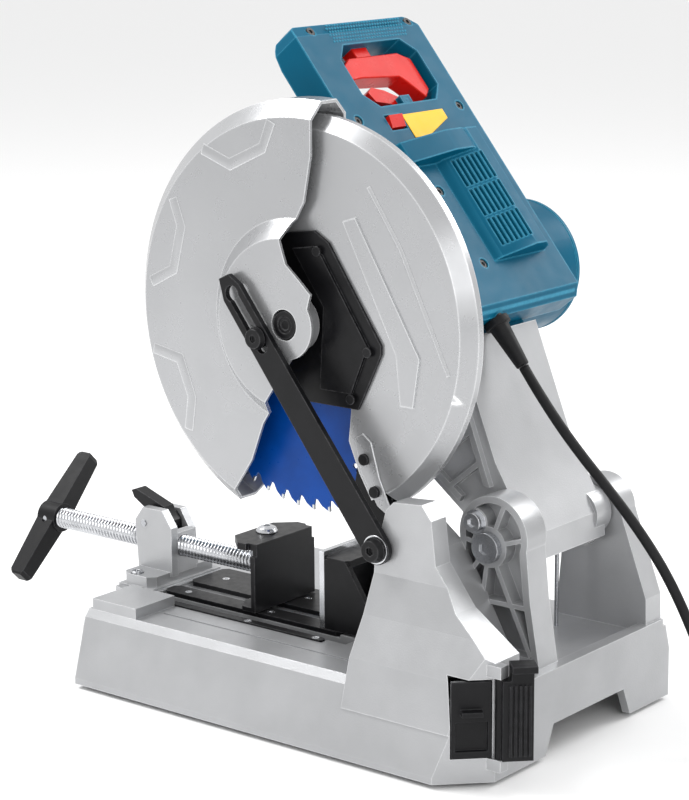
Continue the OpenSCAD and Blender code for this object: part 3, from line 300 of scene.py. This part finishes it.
GREY_PAINT = (0.42, 0.425, 0.435)
BLACK = (0.006, 0.006, 0.007)
# Each finish's lighter edge colour is a painted edge highlight, partly rubbed paint.
MATERIALS = {
    "casting": surface(
        "cast_paint", GREY_PAINT, 0.34, metal=0.50, grain=0.35, grain_size=0.0012, mottle=0.06,
        mottle_size=0.05, edge_highlight_and_wear=(0.80, 0.81, 0.82), highlight_and_wear_amount=0.75, coat=0.1, dust=0.03, steady_highlight_share=0.6),
    "guard": surface(
        "guard_paint", GREY_PAINT, 0.28, metal=0.60, grain=0.08, grain_size=0.0008, mottle=0.03,
        mottle_size=0.09, edge_highlight_and_wear=(0.85, 0.86, 0.87), highlight_and_wear_amount=0.85, coat=0.1, highlight_and_wear_width=0.0018,
        steady_highlight_share=0.8),
    "housing": surface(
        "blue_plastic", (0.0002, 0.092, 0.165), 0.36, grain=0.20, grain_size=0.0006, mottle=0.07,
        mottle_size=0.05, edge_highlight_and_wear=(0.06, 0.32, 0.47), highlight_and_wear_amount=0.85, specular=0.09, highlight_and_wear_width=0.0026,
        steady_highlight_share=0.75),
    "black_steel": surface(
        "black_paint", BLACK, 0.34, grain=0.25, grain_size=0.0009, mottle=0.2, mottle_size=0.02,
        edge_highlight_and_wear=(0.11, 0.11, 0.115), highlight_and_wear_amount=0.8, dust=0.01, specular=0.22, steady_highlight_share=0.3),
    "black_plastic": surface(
        "black_plastic", BLACK, 0.42, grain=0.4, grain_size=0.0007, mottle=0.2, mottle_size=0.03,
        edge_highlight_and_wear=(0.06, 0.06, 0.065), highlight_and_wear_amount=0.7, dust=0.01, specular=0.2, steady_highlight_share=0.3),
    "red_plastic": surface(
        "red_plastic", (0.64, 0.009, 0.005), 0.30, grain=0.08, grain_size=0.0008, mottle=0.06,
        mottle_size=0.03, edge_highlight_and_wear=(0.80, 0.10, 0.06), highlight_and_wear_amount=0.6, specular=0.12, steady_highlight_share=0.4),
    "zinc": surface(
        "zinc_plate", (0.58, 0.59, 0.61), 0.22, metal=0.95, grain=0.12, grain_size=0.0008,
        mottle=0.10, mottle_size=0.02, edge_highlight_and_wear=(0.85, 0.86, 0.88), highlight_and_wear_amount=0.6),
    "steel": surface(
        "machined_steel", (0.40, 0.41, 0.43), 0.27, metal=0.95, grain=0.15, grain_size=0.0006,
        mottle=0.15, mottle_size=0.006, edge_highlight_and_wear=(0.62, 0.63, 0.65), highlight_and_wear_amount=0.6, stretch=(1, 6, 6)),
    "blade_paint": surface(
        "blade_coating", (0.0003, 0.060, 0.330), 0.32, grain=0.12, grain_size=0.0006, mottle=0.12,
        mottle_size=0.02, edge_highlight_and_wear=(0.20, 0.36, 0.60), highlight_and_wear_amount=0.5, specular=0.2),
    "carbide": surface(
        "ground_carbide", (0.60, 0.61, 0.62), 0.22, metal=1.0, grain=0.1, grain_size=0.0004,
        mottle=0.1, mottle_size=0.002),
    "rubber": surface(
        "rubber", (0.008, 0.008, 0.009), 0.52, grain=0.35, grain_size=0.0009, mottle=0.2,
        mottle_size=0.02, edge_highlight_and_wear=(0.04, 0.04, 0.04), highlight_and_wear_amount=0.4, dust=0.02, specular=0.22),
    "label": surface(
        "label_film", (0.90, 0.50, 0.004), 0.34, grain=0.05, grain_size=0.0010, mottle=0.04,
        mottle_size=0.02, specular=0.15),
}

# ---------------------------------------------------------------- skins over the CAD nodes
# Rounding of each node's edges, in millimetres
ROUNDING = {
    "base_casting": 1.6, "arm_casting": 1.2, "gear_housing": 1.0, "vise_block": 1.4,
    "fixed_guard": 0.5, "lower_guard": 0.5, "motor_housing": 1.0, "handle_shell": 1.6,
    "motor_end_cap": 0.8, "vise_jaw": 0.7, "fence_plate": 0.5, "fence_bracket": 0.7,
    "table_plates": 0.5, "arbor_cover": 0.8, "guard_link": 0.6, "t_handle": 1.4, "trigger": 2.2,
    "lock_off": 1.2, "laser_switch": 0.6, "chip_tray": 0.7, "tray_latch": 0.8, "jaw_block": 0.6,
    "plug": 2.2, "strain_relief": 0.8, "saw_blade": 0.12, "blade_tips": 0.15, "rubber_feet": 0.5,
    "quick_release": 1.0, "laser_module": 1.0, "chip_deflector": 0.8}
DEFAULT_ROUNDING = 0.35
# Edges sharper than this are rounded, in degrees
ROUNDED_FROM = 30
# Faces that meet at less than this are made one, in degrees
FLAT_WITHIN = 0.6
# Nodes that have a piece of their own below, and nodes inside the housing that stay as they are
OWN_PIECES = {"cord", "cord_coil", "vise_screw"}
INNER = {"stator", "carbon_brushes", "bearings", "switch_unit", "armature", "idler_gears",
         "output_gear"}


def finish_piece(piece, slot_name, body):
    piece.data.materials.clear()
    piece.data.materials.append(MATERIALS[slot_name])
    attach(piece, body)


def link_mesh(name, mesh):
    piece = bpy.data.objects.new(name, mesh)
    bpy.context.scene.collection.objects.link(piece)
    return piece


def bridge(shape, first, second):
    """Faces between two closed rings with the same number of vertices."""
    count = len(first)
    for k in range(count):
        n = (k + 1) % count
        shape.faces.new((first[k], first[n], second[n], second[k]))


def smooth_by_angle(mesh, degrees=20):
    for polygon in mesh.polygons:
        polygon.use_smooth = True
    mesh.set_sharp_from_angle(angle=math.radians(degrees))


def add_rounding(piece, width, segments=3):
    bevel = piece.modifiers.new("rounding", "BEVEL")
    bevel.width = width * MM
    bevel.segments = segments
    bevel.limit_method = "ANGLE"
    bevel.angle_limit = math.radians(ROUNDED_FROM)
    bevel.harden_normals = False
    bevel.use_clamp_overlap = True


def skin(node):
    """A welded copy of a CAD node with rounded edges, which stands for it."""
    source = frame["nodes"][node]
    shape = bmesh.new()
    shape.from_mesh(source.data)
    bmesh.ops.remove_doubles(shape, verts=shape.verts, dist=WELD)
    bmesh.ops.dissolve_limit(shape, angle_limit=math.radians(FLAT_WITHIN), verts=shape.verts,
                             edges=shape.edges)
    mesh = bpy.data.meshes.new(node + "_skin")
    shape.to_mesh(mesh)
    shape.free()
    smooth_by_angle(mesh)
    piece = link_mesh(node + "_skin", mesh)
    finish_piece(piece, SLOT_OF[node], BODY_OF[node])
    add_rounding(piece, ROUNDING.get(node, DEFAULT_ROUNDING), 3 if node in ROUNDING else 2)
    even = piece.modifiers.new("even_shading", "WEIGHTED_NORMAL")
    even.keep_sharp = True
    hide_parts(node)
    return piece


for node_name, node_object in frame["nodes"].items():
    if node_name in INNER:
        node_object.data.materials.clear()
        node_object.data.materials.append(MATERIALS[SLOT_OF[node_name]])
    elif node_name not in OWN_PIECES:
        skin(node_name)

# The lead in place of the CAD cord and coil; its plug and strain relief are skins like the other nodes
lead.data.materials.clear()
lead.data.materials.append(MATERIALS["rubber"])
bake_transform(lead)
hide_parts("cord", "cord_coil")


# ---------------------------------------------------------------- vise screw with a real thread
THREAD_DEPTH, THREAD_PITCH = 0.0014, 0.0036
THREAD_END_Y = -0.092
THREAD_SIDES, RINGS_PER_TURN = 40, 10
# Neck and button inside the swivel block, as (from y, to y, radius)
SCREW_TIP = ((THREAD_END_Y, -0.080, 0.006), (-0.080, -0.078, 0.008))


def make_vise_screw():
    low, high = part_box("vise_screw")
    centre_x, centre_z = (low.x + high.x) / 2, (low.z + high.z) / 2
    radius = (high.x - low.x) / 2
    start, end = low.y, THREAD_END_Y
    rings = int((end - start) / THREAD_PITCH * RINGS_PER_TURN)
    shape = bmesh.new()

    def thread_radius(y, k):
        """Crest, flanks and root at side k, fading to a plain rod at both ends."""
        phase = ((y - start) / THREAD_PITCH + k / THREAD_SIDES) % 1.0
        crest = 1 - abs(2 * phase - 1)
        cut = THREAD_DEPTH * min(1.0, max(0.0, 1.15 - 1.5 * crest))
        fade = min(1.0, (y - start) / THREAD_PITCH, (end - y) / THREAD_PITCH)
        return radius - cut * fade

    def ring_at(y, radius_of_side):
        ring = []
        for k in range(THREAD_SIDES):
            angle = 2 * math.pi * k / THREAD_SIDES
            r = radius_of_side(y, k)
            ring.append(shape.verts.new((centre_x + r * math.cos(angle), y,
                                         centre_z + r * math.sin(angle))))
        return ring

    previous = None
    for i in range(rings + 1):
        ring = ring_at(start + (end - start) * i / rings, thread_radius)
        if previous:
            bridge(shape, previous, ring)
        else:
            shape.faces.new(ring)
        previous = ring
    for y0, y1, tip_radius in SCREW_TIP:
        for y in (y0, y1):
            ring = ring_at(y, lambda _y, _k: tip_radius)
            bridge(shape, previous, ring)
            previous = ring
    shape.faces.new(previous[::-1])
    bmesh.ops.recalc_face_normals(shape, faces=shape.faces)
    mesh = bpy.data.meshes.new("vise_screw_thread")
    shape.to_mesh(mesh)
    shape.free()
    smooth_by_angle(mesh, 40)
    piece = link_mesh("vise_screw_thread", mesh)
    finish_piece(piece, "zinc", "screw")
    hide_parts("vise_screw")


make_vise_screw()


# ---------------------------------------------------------------- fine detail
def solid_from(name, shape, slot_name, body, rounding=0.0, degrees=32):
    """Turns a bmesh into a finished piece on a body."""
    bmesh.ops.recalc_face_normals(shape, faces=shape.faces)
    mesh = bpy.data.meshes.new(name)
    shape.to_mesh(mesh)
    shape.free()
    smooth_by_angle(mesh, degrees)
    piece = link_mesh(name, mesh)
    finish_piece(piece, slot_name, body)
    if rounding:
        add_rounding(piece, rounding, 2)
    return piece


# How far a dome's base is sunk below the surface it stands on, in metres
SUNK = 0.0004


def add_dome(shape, centre, axis, radius, height, sides, rings):
    """A low dome standing on a surface at centre, with its closed base sunk just below it."""
    u = axis.orthogonal().normalized()
    v = axis.cross(u)
    sunk = centre - axis * SUNK
    previous = [shape.verts.new(sunk + radius * (math.cos(a) * u + math.sin(a) * v))
                for a in (2 * math.pi * k / sides for k in range(sides))]
    shape.faces.new(previous[::-1])
    for i in range(rings):
        lift = math.pi / 2 * i / rings
        ring = [shape.verts.new(centre + axis * (height * math.sin(lift))
                                + radius * math.cos(lift) * (math.cos(a) * u + math.sin(a) * v))
                for a in (2 * math.pi * k / sides for k in range(sides))]
        bridge(shape, previous, ring)
        previous = ring
    top = shape.verts.new(centre + axis * height)
    for k in range(sides):
        shape.faces.new((previous[k], previous[(k + 1) % sides], top))


# Dots on the grip, in millimetres of the housing frame
DOT_ROWS, DOT_COLUMNS, DOT_SPACING = 6, 28, 3.4
DOT_RADIUS, DOT_HEIGHT = 1.15, 0.55
DOTS_FROM_X, DOTS_FROM_S, GRIP_TOP = -77, 404, 79
GRIP_LEFT, GRIP_RIGHT = -171, -75


def grip_texture():
    """Rows of small raised dots on the top of the handle's grip."""
    shape = bmesh.new()
    for row in range(DOT_ROWS):
        for column in range(DOT_COLUMNS):
            x = DOTS_FROM_X - column * DOT_SPACING - (row % 2) * DOT_SPACING / 2
            s = DOTS_FROM_S + row * DOT_SPACING * 0.9
            if GRIP_LEFT < x < GRIP_RIGHT:
                add_dome(shape, housing(x, s, GRIP_TOP), OUT, DOT_RADIUS * MM, DOT_HEIGHT * MM,
                         sides=8, rings=2)
    solid_from("grip_texture", shape, "housing", "head", degrees=60)


# Points round a ridge's section, as shares of its width and its height
STRIP_SECTION = ((-0.5, -0.5), (-0.5, 0.3), (-0.28, 1), (0.28, 1), (0.5, 0.3), (0.5, -0.5))


def add_strip(shape, path, width, height, across_axis):
    """A closed low ridge along a path of points on a flat face with normal across_axis."""
    rows = []
    last = len(path) - 1
    for i, point in enumerate(path):
        before, after = path[max(i - 1, 0)], path[min(i + 1, last)]
        along = (after - before).normalized()
        side = across_axis.cross(along).normalized()
        if 0 < i < last:
            half = (point - before).normalized().dot(along)
            side = side / max(half, 0.5)
        rows.append([shape.verts.new(point + side * width * a + across_axis * height * b)
                     for a, b in STRIP_SECTION])
    for first, second in zip(rows, rows[1:]):
        bridge(shape, first, second)
    shape.faces.new(rows[0])
    shape.faces.new(rows[-1][::-1])


def side_point(x, y, z):
    """Point of the row frame from millimetres in the blade's own frame."""
    return Vector((BLADE_X + x * MM, y * MM, z * MM))


# Flat faces of the moving and the fixed guard, in millimetres from the blade
MOVING_FACE_X, FIXED_FACE_X = 22, 13
# Ridges on the moving guard's flat face, as (y, z) in millimetres
GUARD_RIDGES = [
    [(-92, 442), (-64, 432), (-31, 447), (-22, 468)],
    [(-124, 401), (-116, 379), (-125, 344), (-149, 332)],
    [(-148, 278), (-120, 273), (-108, 243), (-112, 216)]]


def guard_ridges():
    """Faint folded ridges pressed into the moving guard."""
    shape = bmesh.new()
    for ridge in GUARD_RIDGES:
        path = [side_point(MOVING_FACE_X, y, z) for y, z in ridge]
        add_strip(shape, path, 9 * MM, 0.6 * MM, ACROSS)
    solid_from("guard_ridges", shape, "guard", "moving_guard", degrees=50)


def add_ring(shape, centre, axis, profile, sides=48):
    """Lathes a closed profile of (radius, height) pairs about an axis through centre."""
    u = axis.orthogonal().normalized()
    v = axis.cross(u)
    rings = []
    for k in range(sides):
        angle = 2 * math.pi * k / sides
        out = math.cos(angle) * u + math.sin(angle) * v
        rings.append([shape.verts.new(centre + out * r + axis * h) for r, h in profile])
    for k in range(sides):
        bridge(shape, rings[k], rings[(k + 1) % sides])


# Each washer's body, its place, its two radii and its thickness, in millimetres
WASHERS = (("link", 44.5, 94, 158, 5.2, 11.2, 0.9), ("base", -18, 141, 174, 4.4, 9.5, 0.8))


def washers():
    """One plain washer on the guard link and one on the base."""
    for i, (body, x, y, z, inner, outer, thick) in enumerate(WASHERS):
        shape = bmesh.new()
        add_ring(shape, side_point(x, y, z), ACROSS,
                 [(inner * MM, 0), (outer * MM, 0), (outer * MM, thick * MM), (inner * MM, thick * MM)])
        solid_from(f"washer_{i}", shape, "zinc", body, 0.15)


# The pad's outline as (y, z), and the x of its two faces, in millimetres
PANEL = [(50, 231), (58, 236), (66, 230), (74, 203), (83, 184), (97, 171), (84, 174), (72, 181),
         (56, 205)]
PANEL_BACK_X, PANEL_FRONT_X = 12.5, 14.0


def bolt_panel():
    """Raised pad round the two bolts at the lower end of the fixed guard."""
    shape = bmesh.new()
    low = [shape.verts.new(side_point(PANEL_BACK_X, y, z)) for y, z in PANEL]
    high = [shape.verts.new(side_point(PANEL_FRONT_X, y, z)) for y, z in PANEL]
    shape.faces.new(low[::-1])
    shape.faces.new(high)
    bridge(shape, low, high)
    solid_from("bolt_panel", shape, "guard", "head", 0.5)


def guard_folds():
    """Fold line pressed along the fixed guard's flat face."""
    shape = bmesh.new()
    path = [side_point(FIXED_FACE_X, y, z) for y, z in ((64, 424), (94, 380), (138, 290))]
    add_strip(shape, path, 4 * MM, 0.7 * MM, ACROSS)
    solid_from("guard_folds", shape, "guard", "head", degrees=50)


# The cap's section as (radius, distance from the blade), in millimetres
CAP_PROFILE = [(0.01, 30.5), (11.3, 30.5), (11.3, 34.6), (10.4, 35.4), (7.0, 35.4), (6.4, 35.0),
               (4.2, 35.0), (3.8, 34.4), (0.01, 34.4)]
# Closes the small hole that the lathe leaves on the axis, in metres
CAP_WELD = 0.00005


def hub_cap():
    """Turned cap in the bore of the moving guard's hub."""
    shape = bmesh.new()
    centre = side_point(0, 0, BLADE_H / MM)
    add_ring(shape, centre, ACROSS, [(r * MM, h * MM) for r, h in CAP_PROFILE])
    bmesh.ops.remove_doubles(shape, verts=shape.verts, dist=CAP_WELD)
    solid_from("hub_cap", shape, "black_steel", "moving_guard", degrees=30)


grip_texture()
guard_ridges()
bolt_panel()
guard_folds()
hub_cap()
washers()

# ---------------------------------------------------------------- floor and light
FLOOR_SIZE, FLOOR_Z, FLOOR_GREY = 60, -0.0005, 0.90
WORLD_STRENGTH = 0.95


def make_stage():
    """Pale floor and an even white world."""
    bpy.ops.mesh.primitive_plane_add(size=FLOOR_SIZE, location=(0, 0, FLOOR_Z))
    floor = bpy.context.object
    floor.name = "floor"
    paint = bpy.data.materials.new("floor_paint")
    paint.use_nodes = True
    shader = paint.node_tree.nodes["Principled BSDF"]
    shader.inputs["Base Color"].default_value = (FLOOR_GREY, FLOOR_GREY, FLOOR_GREY, 1)
    shader.inputs["Roughness"].default_value = 0.8
    floor.data.materials.append(paint)
    world = bpy.data.worlds.new("studio")
    world.use_nodes = True
    background = world.node_tree.nodes["Background"]
    background.inputs[0].default_value = (1.0, 1.0, 1.0, 1)
    background.inputs[1].default_value = WORLD_STRENGTH
    bpy.context.scene.world = world
    bpy.context.scene.view_settings.view_transform = "Standard"
    bpy.context.scene.view_settings.look = "None"


def area_light(name, place, target, size, power):
    """A rectangular light at a place in metres, aimed at a target."""
    data = bpy.data.lights.new(name, "AREA")
    data.shape = "RECTANGLE"
    data.size = size[0]
    data.size_y = size[1]
    data.energy = power
    lamp = bpy.data.objects.new(name, data)
    lamp.location = place
    lamp.rotation_euler = (Vector(target) - Vector(place)).to_track_quat("-Z", "Y").to_euler()
    bpy.context.scene.collection.objects.link(lamp)


make_stage()
CENTRE = (0, 0, 0.25)
area_light("key", (0.6, -1.4, 2.3), CENTRE, (1.2, 1.2), 44)
area_light("fill", (1.2, 2.2, 1.2), CENTRE, (1.2, 1.2), 12)
area_light("rim", (-1.8, 0.8, 1.7), CENTRE, (1.0, 1.4), 26)
